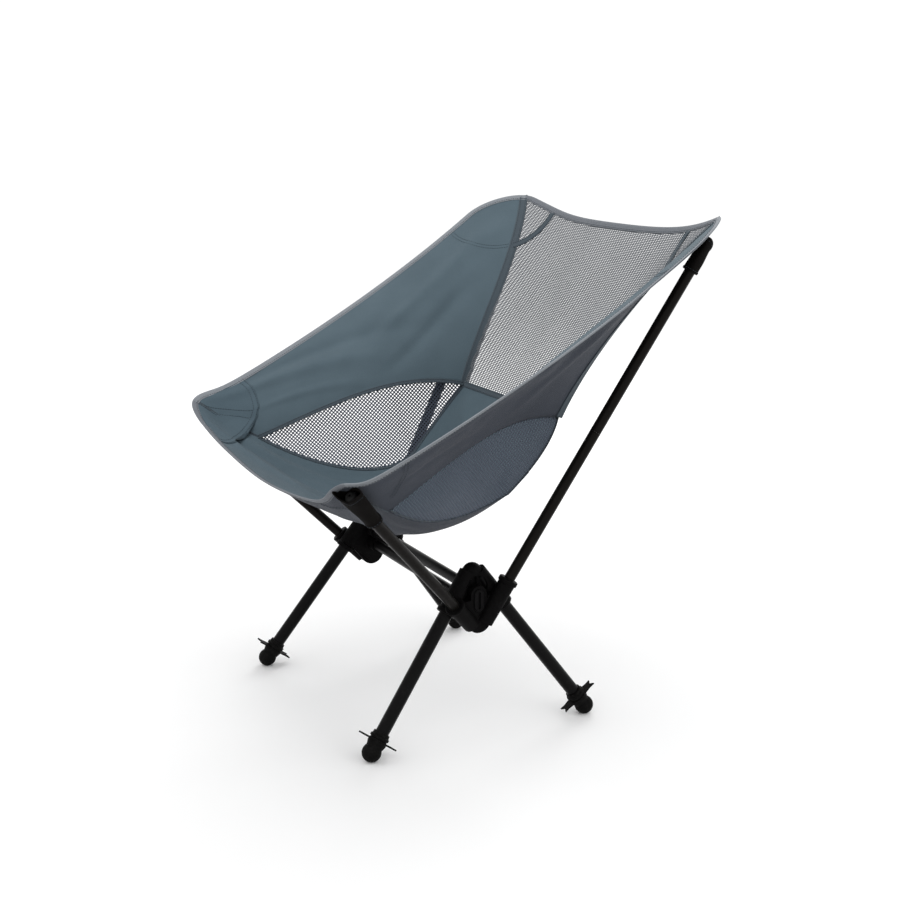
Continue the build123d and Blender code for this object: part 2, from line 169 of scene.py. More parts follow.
# ================================================================ surfaces
def coons(low, high, start, end):
    """The surface stretched between four edges; low and high run along the first index."""
    u = np.linspace(0, 1, len(low))[:, None, None]
    v = np.linspace(0, 1, len(start))[None, :, None]
    along = low[:, None, :] * (1 - v) + high[:, None, :] * v
    between = start[None, :, :] * (1 - u) + end[None, :, :] * u
    corners = (low[0] * (1 - u) + low[-1] * u) * (1 - v) + (high[0] * (1 - u) + high[-1] * u) * v
    return along + between - corners


def grid_normals(grid):
    du = np.gradient(grid, axis=0)
    dv = np.gradient(grid, axis=1)
    normal = np.cross(du, dv)
    return normal / np.maximum(np.linalg.norm(normal, axis=2, keepdims=True), 1e-12)


def shares(grid):
    """The two grid coordinates from 0 to 1 of every point."""
    u, v = np.meshgrid(np.linspace(0, 1, grid.shape[0]), np.linspace(0, 1, grid.shape[1]), indexing="ij")
    return u, v


def ridge(u, v, start, end, width, height):
    """A soft fold that runs between two places on the cloth and fades at its ends."""
    a, b = np.array(start), np.array(end)
    way = b - a
    size = np.dot(way, way)
    t = ((u - a[0]) * way[0] + (v - a[1]) * way[1]) / size
    off = ((u - a[0]) * way[1] - (v - a[1]) * way[0]) / math.sqrt(size)
    fade = smooth((t + 0.12) / 0.35) * smooth((1.12 - t) / 0.45)
    return height * np.exp(-((off / width) ** 2)) * fade


NU, NV = 150, 56
SEAT_ROOT, SEAT_TIP = mm(157.9, 2.6, 138.6), mm(255.5, -212.4, 367.1)
UPRIGHT_ROOT, UPRIGHT_TIP = mm(165.1, 2.6, 138.6), mm(240.2, 281.2, 622.7)
TENT = {"left": 0.003, "right": 0.006}


def tented(points, tip, height):
    """A line or a surface raised over a pole's tip."""
    near = np.exp(-(((points - tip) ** 2).sum(axis=-1) / 0.030**2))
    return points + near[..., None] * np.array((0, 0, height))


def widened(grid, reaches):
    """The surface with a seam allowance along its edges: low u, high u, low v and high v."""
    for axis in (0, 1):
        rows = np.moveaxis(grid, axis, 0)
        low_reach, high_reach = reaches[2 * axis : 2 * axis + 2]
        ends = []
        for edge, inner, reach in ((rows[0], rows[1], low_reach), (rows[-1], rows[-2], high_reach)):
            way = edge - inner
            ends.append(edge + reach * way / np.maximum(np.linalg.norm(way, axis=1, keepdims=True), 1e-6))
        grid = np.moveaxis(np.concatenate([ends[0][None], rows, ends[1][None]]), 0, axis)
    return grid


def side_surface(hand):
    grid = coons(
        part_of(HEMS[hand], FRONT_AT[hand], BACK_AT[hand], NU),
        even(UPPER_SEAM, NU),
        even(FRONT_SEAMS[hand], NV),
        even(BACK_SEAM[::-1], NV),
    )
    u, v = shares(grid)
    normal = grid_normals(grid)
    inner = np.sin(np.pi * u) ** 0.7 * np.sin(np.pi * v) ** 0.8
    lift = 0.004 * inner
    lift = lift + ridge(u, v, (0.05, 0.12), (0.62, 0.80), 0.055, 0.0035)
    lift = lift - ridge(u, v, (0.16, 0.10), (0.80, 0.72), 0.05, 0.0030)
    lift = lift + ridge(u, v, (0.98, 0.15), (0.52, 0.55), 0.06, 0.0030)
    lift = lift - ridge(u, v, (0.93, 0.45), (0.62, 0.92), 0.05, 0.0034)
    lift = lift + ridge(u, v, (0.10, 0.55), (0.55, 0.95), 0.04, 0.0018)
    lift = lift + 0.0008 * np.sin(u * 37 + 3 * v) * np.sin(v * 9) * inner
    edge = smooth(v / 0.07) * smooth((1 - v) / 0.07) * smooth(u / 0.05) * smooth((1 - u) / 0.05)
    return tented(grid + normal * (lift * edge)[:, :, None], SEAT_TIP, TENT[hand])


def seat_surface():
    rows = 141
    edges = {hand: even(join(seam, LOWER_SEAM), rows) for hand, seam in FRONT_SEAMS.items()}
    fronts = {hand: part_of(hem, 0, FRONT_AT[hand], 71) for hand, hem in HEMS.items()}
    low = join(flip(fronts["right"])[::-1], fronts["left"])
    grid = coons(flip(edges["right"]), edges["left"], low, even(SEAT_REAR, len(low)))
    u, v = shares(grid)
    normal = grid_normals(grid)
    across = 1 - (2 * v - 1) ** 2
    sag = -0.012 * np.sin(np.pi * np.clip(u, 0, 1)) ** 1.2 * across ** 0.8
    folds = 0.0
    for side in (0, 1):
        w = v if side == 0 else 1 - v
        folds = folds + ridge(u, w, (0.02, 0.02), (0.34, 0.42), 0.035, 0.0040)
        folds = folds - ridge(u, w, (0.05, 0.01), (0.42, 0.26), 0.030, 0.0036)
        folds = folds + ridge(u, w, (0.10, 0.03), (0.52, 0.14), 0.028, 0.0022)
        folds = folds + ridge(u, w, (0.97, 0.06), (0.72, 0.40), 0.040, 0.0026)
    ripple = 0.0007 * np.sin(v * 41 + 5 * u) * np.sin(u * 17) * across
    edge = smooth(v / 0.05) * smooth((1 - v) / 0.05) * smooth(u / 0.04) * smooth((1 - u) / 0.05)
    sign = np.sign(normal[rows // 2, len(low) // 2, 2])
    grid = grid + normal * (sign * (sag + (folds + ripple)) * edge)[:, :, None]
    return tented(tented(grid, SEAT_TIP, TENT["left"]), flip(SEAT_TIP), TENT["right"])


def back_surface():
    top = part_of(OUTLINE, BACK_AT["right"], lengths(OUTLINE)[-1], 60)
    high = join(flip(top), top[::-1])
    grid = coons(even(flip(BACK_SEAM), 90), even(BACK_SEAM, 90), even(SEAT_REAR, len(high)), high)
    u, v = shares(grid)
    normal = grid_normals(grid)
    sign = np.sign(normal[45, len(high) // 2, 1])
    push = 0.006 * np.sin(np.pi * u) * (1 - (2 * v - 1) ** 2)
    push = push + 0.0012 * np.sin(v * 23 + 2 * u) * np.sin(np.pi * u) * (1 - (2 * v - 1) ** 2)
    return grid + normal * (sign * push)[:, :, None]


def window_surface():
    # the lens between the two seams; its ends are points
    low, high = even(LOWER_SEAM, 90), even(UPPER_SEAM, 90)
    v = np.linspace(0, 1, 28)[None, :, None]
    grid = low[:, None, :] * (1 - v) + high[:, None, :] * v
    u, w = shares(grid)
    normal = grid_normals(grid)
    outwards = np.sign(normal[45, 14, 0])
    bulge = 0.007 * np.sin(np.pi * u) * np.sin(np.pi * w)
    return grid + normal * (outwards * bulge)[:, :, None]


# ================================================================ mesh building
def new_object(name, verts, faces, materials, face_slots=None, smooth_faces=True, body=BODY):
    mesh = bpy.data.meshes.new(name)
    mesh.from_pydata([tuple(map(float, p)) for p in verts], [], [tuple(map(int, f)) for f in faces])
    for material in materials:
        mesh.materials.append(material)
    if face_slots is not None:
        mesh.polygons.foreach_set("material_index", np.asarray(face_slots, dtype=np.int32))
    mesh.polygons.foreach_set("use_smooth", np.full(len(mesh.polygons), smooth_faces))
    mesh.validate()
    mesh.update()
    piece = bpy.data.objects.new(name, mesh)
    bpy.context.scene.collection.objects.link(piece)
    if body:
        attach(piece, body)
    return piece


def quads_of(rows, cols, first=0):
    index = first + np.arange(rows * cols).reshape(rows, cols)
    return np.stack([index[:-1, :-1], index[1:, :-1], index[1:, 1:], index[:-1, 1:]], axis=-1).reshape(-1, 4)


def set_weave(piece, coords):
    """Stores flat cloth coordinates in metres, one pair for each vertex."""
    layer = piece.data.uv_layers.new(name="cloth")
    loops = np.empty(len(piece.data.loops), dtype=np.int32)
    piece.data.loops.foreach_get("vertex_index", loops)
    layer.data.foreach_set("uv", np.asarray(coords, dtype=np.float32)[loops].ravel())


def cloth(name, grid, thickness, materials, inside_sign):
    """A closed sheet of cloth over a grid; its first material is on the sitter's side."""
    normal = grid_normals(grid) * inside_sign
    rows, cols = grid.shape[:2]
    top = (grid + normal * thickness / 2).reshape(-1, 3)
    bottom = (grid - normal * thickness / 2).reshape(-1, 3)
    count = rows * cols
    upper = quads_of(rows, cols)
    lower = quads_of(rows, cols, count)
    index = np.arange(count).reshape(rows, cols)
    rim = np.concatenate([index[:-1, 0], index[-1, :-1], index[::-1, -1][:-1], index[0, ::-1][:-1]])
    after = np.roll(rim, -1)
    walls = np.stack([rim, after, after + count, rim + count], axis=1)
    if inside_sign > 0:
        lower = lower[:, ::-1]
        walls = walls[:, ::-1]
    else:
        upper = upper[:, ::-1]
    faces = np.concatenate([upper, lower, walls])
    kinds = np.concatenate([np.zeros(len(upper)), np.full(len(lower) + len(walls), len(materials) - 1)])
    piece = new_object(name, np.concatenate([top, bottom]), faces, materials, kinds)
    along = np.linalg.norm(np.diff(grid, axis=0), axis=2)
    along = np.concatenate([np.zeros((1, cols)), np.cumsum(along, axis=0)])
    across = np.linalg.norm(np.diff(grid, axis=1), axis=2)
    across = np.concatenate([np.zeros((rows, 1)), np.cumsum(across, axis=1)], axis=1)
    flat = np.stack([along, across], axis=-1).reshape(-1, 2)
    set_weave(piece, np.concatenate([flat, flat]))
    return piece


def tree_of(*grids):
    verts, faces, first = [], [], 0
    for grid in grids:
        rows, cols = grid.shape[:2]
        verts.append(grid.reshape(-1, 3))
        faces.append(quads_of(rows, cols, first))
        first += rows * cols
    return BVHTree.FromPolygons(np.concatenate(verts).tolist(), np.concatenate(faces).tolist())


def net(name, tree, centre, right, up, half, pitch, bar, thickness, materials, corner, tall=1.0):
    """Open mesh fabric: a grid of bars laid over a surface, with a real hole in every cell."""
    right, up = np.array(right) / np.linalg.norm(right), np.array(up) / np.linalg.norm(up)
    out = np.cross(right, up)
    cols, rows = int(2 * half[0] / pitch), int(2 * half[1] / (pitch * tall))
    hits, normals = {}, {}
    for i in range(cols + 1):
        for j in range(rows + 1):
            place = centre + right * (i * pitch - half[0]) + up * (j * pitch * tall - half[1])
            at, normal, _, _ = tree.ray_cast(Vector(place + out * 0.25), Vector(-out), 0.5)
            if at is None:
                continue
            normal = np.array(normal)
            normals[i, j] = normal * np.sign(np.dot(normal, out))
            hits[i, j] = np.array(at)
    cells = [(i, j) for i, j in hits if {(i + 1, j), (i, j + 1), (i + 1, j + 1)} <= hits.keys()]
    used = sorted({(i + a, j + b) for i, j in cells for a in (0, 1) for b in (0, 1)})
    index = {key: k for k, key in enumerate(used)}
    verts, spread = [], []
    edge = bar / pitch / 2
    if corner > 0:
        cut = edge + corner * (1 - 2 * edge)
        inner = [(cut, edge), (1 - cut, edge), (1 - edge, cut), (1 - edge, 1 - cut)]
        inner += [(1 - cut, 1 - edge), (cut, 1 - edge), (edge, 1 - cut), (edge, cut)]
    else:
        flat = edge / tall
        inner = [(edge, flat), (1 - edge, flat), (1 - edge, 1 - flat), (edge, 1 - flat)]
    for side in (0.5, -0.5):
        for key in used:
            verts.append(hits[key] + normals[key] * thickness * side)
            spread.append((key[0] * pitch, key[1] * pitch))
        for i, j in cells:
            a, b, c2, d = hits[i, j], hits[i + 1, j], hits[i + 1, j + 1], hits[i, j + 1]
            n = normals[i, j] * thickness * side
            for x, y in inner:
                verts.append(a * (1 - x) * (1 - y) + b * x * (1 - y) + c2 * x * y + d * (1 - x) * y + n)
                spread.append(((i + x) * pitch, (j + y) * pitch))
    layer = len(used) + len(cells) * len(inner)
    faces = []
    count = len(inner)
    present = set(cells)
    for k, (i, j) in enumerate(cells):
        outer = [index[i, j], index[i + 1, j], index[i + 1, j + 1], index[i, j + 1]]
        first = len(used) + k * count
        ring = [first + n for n in range(count)]
        if count == 8:
            ups = []
            for s in range(4):
                ups.append((outer[s], outer[(s + 1) % 4], ring[2 * s + 1], ring[2 * s]))
                ups.append((outer[s], ring[2 * s], ring[2 * s - 1]))
        else:
            ups = [(outer[s], outer[(s + 1) % 4], ring[(s + 1) % 4], ring[s]) for s in range(4)]
        faces += ups
        faces += [tuple(layer + v for v in reversed(f)) for f in ups]
        for n in range(count):
            a, b = ring[n], ring[(n + 1) % count]
            faces.append((a, b, b + layer, a + layer))
        for s, (di, dj) in enumerate(((0, -1), (1, 0), (0, 1), (-1, 0))):
            if (i + di, j + dj) not in present:
                a, b = outer[s], outer[(s + 1) % 4]
                faces.append((b, a, a + layer, b + layer))
    piece = new_object(name, verts, faces, materials, smooth_faces=False)
    set_weave(piece, spread)
    return piece


def frames_along(path, normals):
    """The way along, the side way and the normal at each point of a line on cloth."""
    way = np.gradient(path, axis=0)
    way /= np.linalg.norm(way, axis=1, keepdims=True)
    side = np.cross(normals, way)
    side /= np.linalg.norm(side, axis=1, keepdims=True)
    return way, side, np.cross(way, side)


def ribbon(name, path, normals, profile, materials, body=BODY):
    """A strip swept along a line: profile is a closed loop of (sideways, upwards) in metres."""
    _, side, up = frames_along(path, normals)
    profile = np.array(profile)
    sideways, upwards = profile[None, :, 0:1], profile[None, :, 1:2]
    rings = path[:, None, :] + side[:, None, :] * sideways + up[:, None, :] * upwards
    count, size = rings.shape[:2]
    index = np.arange(count * size).reshape(count, size)
    faces = []
    for k in range(size):
        n = (k + 1) % size
        faces.append(np.stack([index[:-1, k], index[:-1, n], index[1:, n], index[1:, k]], axis=1))
    faces = [tuple(f) for f in np.concatenate(faces)]
    faces.append(tuple(index[0][::-1]))
    faces.append(tuple(index[-1]))
    piece = new_object(name, rings.reshape(-1, 3), faces, materials, body=body)
    round_it = np.concatenate(([0.0], np.cumsum(np.linalg.norm(np.diff(profile, axis=0), axis=1))))
    set_weave(piece, np.stack([np.repeat(lengths(path), size), np.tile(round_it, count)], axis=1))
    return piece


def tape_profile(width, height):
    """A flat woven tape: thin, with soft edges and a slight ridge along each side."""
    w, h = width / 2, height
    return [
        (-w, 0.1 * h), (-w * 0.94, 0.75 * h), (-w * 0.8, h), (-w * 0.6, 0.8 * h), (0, 0.7 * h),
        (w * 0.6, 0.8 * h), (w * 0.8, h), (w * 0.94, 0.75 * h), (w, 0.1 * h),
        (w * 0.9, -0.25 * h), (0, -0.3 * h), (-w * 0.9, -0.25 * h),
    ]


def binding_profile(width, height):
    """A tape folded over the hem: it wraps the edge at 0 and reaches inwards by its width."""
    h = height / 2
    return [
        (width, 0.35 * h), (width * 0.97, 0.85 * h), (width * 0.86, h), (width * 0.74, 0.72 * h),
        (width * 0.5, 0.95 * h), (width * 0.25, 1.1 * h), (0, 0.95 * h), (-0.0012, 0.45 * h),
        (-0.0015, 0), (-0.0012, -0.45 * h), (0, -0.95 * h), (width * 0.25, -1.1 * h),
        (width * 0.5, -0.95 * h), (width * 0.74, -0.72 * h), (width * 0.86, -h), (width * 0.97, -0.85 * h),
        (width, -0.35 * h), (width * 0.9, 0.0),
    ]


STITCH_PITCH, STITCH_LENGTH, THREAD_RADIUS = 0.0036, 0.0027, 0.00034


def value_at(middle, along, values):
    return np.array([np.interp(middle, along, values[:, c]) for c in range(3)])


class Seam:
    """Collects stitches, which all become one piece."""

    def __init__(self):
        self.verts, self.faces = [], []

    def run(self, path, normals, sideways=0.0, lift=0.0, both=False):
        """A row of stitches along a line; both puts a second row on the cloth's other face."""
        _, side, up = frames_along(path, normals)
        line = path + side * sideways + up * lift
        along = lengths(line)
        for k in range(int(along[-1] / STITCH_PITCH)):
            middle = (k + 0.5) * STITCH_PITCH
            points = [value_at(middle + s * STITCH_LENGTH, along, line) for s in (-0.5, 0, 0.5)]
            normal = value_at(middle, along, up)
            self.pill(points, normal)
            if both:
                self.pill([point - normal * 2 * lift for point in points], -normal)

    def pill(self, points, normal):
        """One stitch: a short thread that dips into the cloth at both ends."""
        way = points[2] - points[0]
        way = way / np.linalg.norm(way)
        side = np.cross(normal, way)
        first = len(self.verts)
        sizes, drops = (0.45, 1.0, 0.45), (-0.6, 0.25, -0.6)
        for point, size, drop in zip(points, sizes, drops):
            for k in range(5):
                angle = 2 * math.pi * k / 5
                offset = side * math.cos(angle) + normal * math.sin(angle)
                self.verts.append(point + THREAD_RADIUS * (offset * size + normal * drop))
        for ring in (0, 5):
            for k in range(5):
                n = (k + 1) % 5
                start = first + ring
                self.faces.append((start + k, start + n, start + 5 + n, start + 5 + k))
        self.faces.append(tuple(first + k for k in (4, 3, 2, 1, 0)))
        self.faces.append(tuple(first + 10 + k for k in range(5)))

    def make(self, name, materials):
        return new_object(name, self.verts, self.faces, materials)


def normals_near(tree, path, like):
    """The cloth's normals at the points of a line, turned to the sitter's side."""
    found = []
    for point in path:
        _, normal, _, _ = tree.find_nearest(Vector(point))
        normal = np.array(normal)
        found.append(normal * (1 if np.dot(normal, like) >= 0 else -1))
    found = np.array(found)
    for _ in range(3):
        found[1:-1] = (found[:-2] + found[1:-1] + found[2:]) / 3
    return found / np.linalg.norm(found, axis=1, keepdims=True)


# ================================================================ materials
def shader(name, base, roughness, **sockets):
    material = bpy.data.materials.new(name)
    material.use_nodes = True
    tree = material.node_tree
    bsdf = tree.nodes["Principled BSDF"]
    bsdf.inputs["Base Color"].default_value = (*base, 1)
    bsdf.inputs["Roughness"].default_value = roughness
    for key, value in sockets.items():
        bsdf.inputs[key.replace("_", " ")].default_value = value
    return material, tree, bsdf


def noise(tree, coords, scale, detail=4.0, rough=0.55):
    node = tree.nodes.new("ShaderNodeTexNoise")
    node.inputs["Scale"].default_value = scale
    node.inputs["Detail"].default_value = detail
    node.inputs["Roughness"].default_value = rough
    tree.links.new(coords, node.inputs["Vector"])
    return node.outputs["Fac"]


def math_node(tree, kind, a, b):
    node = tree.nodes.new("ShaderNodeMath")
    node.operation = kind
    for socket, value in zip(node.inputs, (a, b)):
        if isinstance(value, (int, float)):
            socket.default_value = value
        else:
            tree.links.new(value, socket)
    return node.outputs[0]


def plus(tree, a, b):
    return math_node(tree, "ADD", a, b)


def times(tree, a, b):
    return math_node(tree, "MULTIPLY", a, b)


def ramp(tree, fac, low, high, low_at, high_at):
    node = tree.nodes.new("ShaderNodeValToRGB")
    node.color_ramp.elements[0].position = low_at
    node.color_ramp.elements[1].position = high_at
    node.color_ramp.elements[0].color = (*low, 1)
    node.color_ramp.elements[1].color = (*high, 1)
    tree.links.new(fac, node.inputs["Fac"])
    return node.outputs["Color"]


def scalar_range(tree, fac, low, high):
    node = tree.nodes.new("ShaderNodeMapRange")
    node.inputs["To Min"].default_value = low
    node.inputs["To Max"].default_value = high
    tree.links.new(fac, node.inputs["Value"])
    return node.outputs["Result"]


def bump(tree, bsdf, height, strength, distance):
    node = tree.nodes.new("ShaderNodeBump")
    node.inputs["Strength"].default_value = strength
    node.inputs["Distance"].default_value = distance
    tree.links.new(height, node.inputs["Height"])
    tree.links.new(node.outputs["Normal"], bsdf.inputs["Normal"])


def threads(tree, uv, pitch_x, pitch_y):
    """A wave across the threads that lie one way, and a plain weave's over and under pattern."""
    split = tree.nodes.new("ShaderNodeSeparateXYZ")
    tree.links.new(uv, split.inputs[0])
    x = math_node(tree, "SINE", times(tree, split.outputs[0], 2 * math.pi / pitch_x), 0)
    y = math_node(tree, "SINE", times(tree, split.outputs[1], 2 * math.pi / pitch_y), 0)
    return x, times(tree, x, y)


def cloth_shader(name, base, roughness, sheen, sheen_roughness, specular):
    return shader(
        name, base, roughness,
        Sheen_Weight=sheen, Sheen_Roughness=sheen_roughness, Specular_IOR_Level=specular,
    )


def fabric_material(name, base, dark, pitch, roughness, sheen):
    """Woven cloth: over and under threads, cloudy where it is worn or dyed unevenly."""
    material, tree, bsdf = cloth_shader(name, base, roughness, sheen, 0.45, 0.12)
    coords = tree.nodes.new("ShaderNodeTexCoord")
    uv = tree.nodes.new("ShaderNodeUVMap")
    uv.uv_map = "cloth"
    _, both = threads(tree, uv.outputs["UV"], pitch, pitch)
    cloud = noise(tree, coords.outputs["Object"], 14.0, 5.0)
    fine = noise(tree, coords.outputs["Object"], 900.0, 2.0)
    weave = times(tree, plus(tree, both, 1.0), 0.5)
    mix = plus(tree, times(tree, cloud, 0.5), times(tree, weave, 0.5))
    mix = plus(tree, times(tree, mix, 0.8), times(tree, fine, 0.2))
    tree.links.new(ramp(tree, mix, dark, base, 0.15, 0.75), bsdf.inputs["Base Color"])
    tree.links.new(scalar_range(tree, mix, roughness + 0.08, roughness - 0.08), bsdf.inputs["Roughness"])
    bump(tree, bsdf, plus(tree, both, times(tree, fine, 0.8)), 0.5, 0.00012)
    return material


def plastic_material(name, base, wear, roughness, grain=2600.0, depth=0.00008):
    """Moulded plastic or rubber: fine grain, cloudy gloss and pale scuffs."""
    material, tree, bsdf = shader(name, base, roughness, Specular_IOR_Level=0.035)
    coords = tree.nodes.new("ShaderNodeTexCoord")
    fine = noise(tree, coords.outputs["Object"], grain, 3.0)
    cloud = noise(tree, coords.outputs["Object"], 30.0, 6.0, 0.65)
    scuffs = noise(tree, coords.outputs["Object"], 240.0, 8.0, 0.75)
    tree.links.new(ramp(tree, scuffs, base, wear, 0.5, 0.9), bsdf.inputs["Base Color"])
    tree.links.new(scalar_range(tree, cloud, roughness - 0.12, roughness + 0.12), bsdf.inputs["Roughness"])
    bump(tree, bsdf, plus(tree, fine, times(tree, scuffs, 0.4)), 0.45, depth)
    return material


def anodised_material(name, base, wear, roughness, metal=0.4):
    """Drawn tube: cloudy gloss and fine scuffs that show paler metal."""
    material, tree, bsdf = shader(name, base, roughness, Metallic=metal, Specular_IOR_Level=0.06)
    coords = tree.nodes.new("ShaderNodeTexCoord")
    cloud = noise(tree, coords.outputs["Object"], 22.0, 6.0, 0.6)
    grain = noise(tree, coords.outputs["Object"], 1500.0, 2.0)
    scuffs = noise(tree, coords.outputs["Object"], 130.0, 9.0, 0.8)
    tree.links.new(ramp(tree, scuffs, base, wear, 0.55, 0.88), bsdf.inputs["Base Color"])
    mix = plus(tree, times(tree, cloud, 0.7), times(tree, scuffs, 0.3))
    tree.links.new(scalar_range(tree, mix, roughness - 0.09, roughness + 0.11), bsdf.inputs["Roughness"])
    bump(tree, bsdf, plus(tree, grain, scuffs), 0.25, 0.00004)
    return material


def tape_material(name, base, dark, roughness, sheen=0.08, specular=0.12):
    """Ribbed woven tape: ribs run across it."""
    material, tree, bsdf = cloth_shader(name, base, roughness, sheen, 0.5, specular)
    uv = tree.nodes.new("ShaderNodeUVMap")
    uv.uv_map = "cloth"
    ribs, both = threads(tree, uv.outputs["UV"], 0.0011, 0.0016)
    coords = tree.nodes.new("ShaderNodeTexCoord")
    fine = noise(tree, coords.outputs["Object"], 1200.0, 2.0)
    mix = plus(tree, times(tree, plus(tree, ribs, 1.0), 0.3), times(tree, fine, 0.4))
    tree.links.new(ramp(tree, mix, dark, base, 0.1, 0.75), bsdf.inputs["Base Color"])
    tree.links.new(scalar_range(tree, fine, roughness - 0.08, roughness + 0.08), bsdf.inputs["Roughness"])
    bump(tree, bsdf, plus(tree, ribs, times(tree, both, 0.4)), 0.6, 0.0002)
    return material


SLATE = fabric_material("slate cloth", (0.070, 0.100, 0.120), (0.043, 0.064, 0.078), 0.0011, 0.74, 0.07)
# The outer face is the same slate cloth made darker: painted shade for the side of the sling that is turned
# away from the lamps.
SHADED_OUTER_FACE = fabric_material(
    "slate cloth outer face, darkened as painted shade", (0.041, 0.047, 0.061), (0.025, 0.029, 0.038), 0.0011, 0.72, 0.04,
)
PATCH = fabric_material(
    "reinforcing cloth", (0.064, 0.093, 0.113), (0.038, 0.058, 0.072), 0.0013, 0.76, 0.06,
)
# The mesh yarn is grey and is made lighter still as painted sheen, for the light the back net catches at
# grazing angles.
MESH = fabric_material("mesh yarn", (0.112, 0.120, 0.131), (0.060, 0.066, 0.074), 0.0008, 0.66, 0.08)
MESH_DARK = fabric_material(
    "window mesh yarn", (0.072, 0.085, 0.112), (0.035, 0.042, 0.057), 0.0008, 0.66, 0.06,
)
BINDING = tape_material("grey binding", (0.145, 0.156, 0.174), (0.074, 0.081, 0.092), 0.66)
# The side binding is the same grey tape as the top and front binding, made lighter: painted light for the
# lamp above falling on the side hems.
LIT_SIDE_BINDING = tape_material("grey side binding lightened as painted light", (0.205, 0.220, 0.238), (0.108, 0.118, 0.132), 0.66)
TAPE = tape_material("slate seam tape", (0.055, 0.072, 0.086), (0.026, 0.036, 0.045), 0.68)
WEBBING = tape_material(
    "black webbing", (0.0052, 0.0043, 0.0039), (0.0022, 0.0019, 0.0018), 0.72, 0.0, 0.04,
)
THREAD = fabric_material("sewing thread", (0.030, 0.042, 0.052), (0.014, 0.020, 0.026), 0.0005, 0.6, 0.05)
CORD = tape_material("cord sheath", (0.03, 0.03, 0.03), (0.012, 0.012, 0.012), 0.6)
HUB = plastic_material("moulded hub plastic", (0.0022, 0.0020, 0.0021), (0.0078, 0.0074, 0.0074), 0.52)
CAP = plastic_material(
    "hub cap plastic", (0.0038, 0.0036, 0.0038), (0.013, 0.0125, 0.013), 0.38, 1800.0, 0.00005,
)
RUBBER = plastic_material(
    "foot rubber", (0.0034, 0.0033, 0.0032), (0.016, 0.0155, 0.015), 0.54, 1500.0, 0.00012,
)
TIP = plastic_material("tip plastic", (0.008, 0.008, 0.008), (0.03, 0.03, 0.03), 0.45)
LEGS = anodised_material("black anodised tube", (0.0052, 0.0050, 0.0052), (0.018, 0.017, 0.017), 0.33)
POLES = anodised_material(
    "brownish black anodised tube", (0.0068, 0.0060, 0.0054), (0.022, 0.020, 0.018), 0.35,
)
BARE = anodised_material("bare aluminium", (0.62, 0.62, 0.64), (0.75, 0.75, 0.77), 0.32, 1.0)

FINISHES = {
    "hub_plastic": HUB,
    "cap_plastic": CAP,
    "tube_black": LEGS,
    "pole_black": POLES,
    "ferrule_metal": BARE,
    "foot_rubber": RUBBER,
    "tip_plastic": TIP,
    "cord": CORD,
    "webbing": WEBBING,
    "fabric_solid": SLATE,
    "fabric_mesh": MESH,
    "binding": BINDING,
}
for entry in frame["record"]["subparts"]:
    node = frame["nodes"][entry["node"]]
    node.data.materials.clear()
    node.data.materials.append(FINISHES[entry["material_slot"]])

# ================================================================ the sling's cloth
side_grids = {"left": side_surface("left"), "right": flip(side_surface("right"))}
seat_grid = seat_surface()
back_grid = back_surface()
window_grid = window_surface()

seat_sign = np.sign(grid_normals(seat_grid)[70, seat_grid.shape[1] // 2, 2])
CLOTH_THICKNESS = 0.0007
BACK_PITCH, BACK_BAR = 0.0051, 0.00138  # the back net's cells and the yarn between its holes
WINDOW_PITCH, WINDOW_BAR = 0.0037, 0.00150

for hand, inwards in (("left", -1.0), ("right", 1.0)):
    grid = side_grids[hand]
    sign = np.sign(inwards * grid_normals(grid)[NU // 2, NV // 2, 0])
    # The second material, on the outer face and the cut edges, is the painted-shade copy of the slate cloth.
    cloth(f"side_cloth_{hand}", grid, CLOTH_THICKNESS, [SLATE, SHADED_OUTER_FACE], sign)
    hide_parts(f"side_panel_{hand}")
# The seat's outer face also takes the painted-shade copy of the slate cloth.
cloth("seat_cloth", seat_grid, CLOTH_THICKNESS, [SLATE, SHADED_OUTER_FACE], seat_sign)
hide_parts("seat_panel")

back_tree = tree_of(widened(back_grid, (0.001, 0.0001, 0.0015, 0.0015)))
centre = mm(0, 200, 510)
net(
    "back_net", back_tree, centre, (1, 0, 0), (0, 0.36, 0.93), (0.245, 0.175), BACK_PITCH, BACK_BAR, 0.0005,
    [MESH], corner=0, tall=0.48,
)
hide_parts("back_mesh")

window_grid = widened(window_grid, (0.002, 0.002, 0.002, 0.002))
for hand, sign in (("left", 1.0), ("right", -1.0)):
    window_tree = tree_of(window_grid if hand == "left" else flip(window_grid))
    net(
        f"window_net_{hand}", window_tree, mm(sign * 160, 0, 340), (-sign * 0.52, 0.60, -0.61),
        (-sign * 0.06, 0.68, 0.73), (0.20, 0.20), WINDOW_PITCH, WINDOW_BAR, 0.0006, [MESH_DARK], corner=0.25,
    )
    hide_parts(f"side_mesh_{hand}")

# ================================================================ bindings, tapes and stitches
stitches = Seam()
INSIDE = {
    "left": np.array((-0.75, -0.2, 0.6)),
    "right": np.array((0.75, -0.2, 0.6)),
    "seat": np.array((0, 0, 1.0)),
    "back": np.array((0, -0.9, 0.3)),
}
trees = {
    "left": tree_of(side_grids["left"]),
    "right": tree_of(side_grids["right"]),
    "seat": tree_of(seat_grid),
    "back": back_tree,
}
BINDING_WIDTH, FRONT_BINDING_WIDTH, BINDING_HEIGHT = 0.0085, 0.0075, 0.0026


def hem_binding(name, path, where, width, node, finish):
    """The folded tape over one stretch of the hem, with its stitches; where names the cloth it is sewn to."""
    tree, like = trees[where], INSIDE[where]
    normals = normals_near(tree, path, like)
    _, side, _ = frames_along(path, normals)
    middle = len(path) // 2
    nearest = np.array(tree.find_nearest(Vector(path[middle] + side[middle] * 0.01))[0])
    inwards = np.linalg.norm(nearest - path[middle] - side[middle] * 0.01) < 0.005
    if not inwards:
        path, normals = path[::-1], normals[::-1]
    piece = ribbon(name, path, normals, binding_profile(width, BINDING_HEIGHT), [finish])
    stitches.run(path, normals, width * 0.74, BINDING_HEIGHT * 0.5, both=True)
    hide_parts(node)


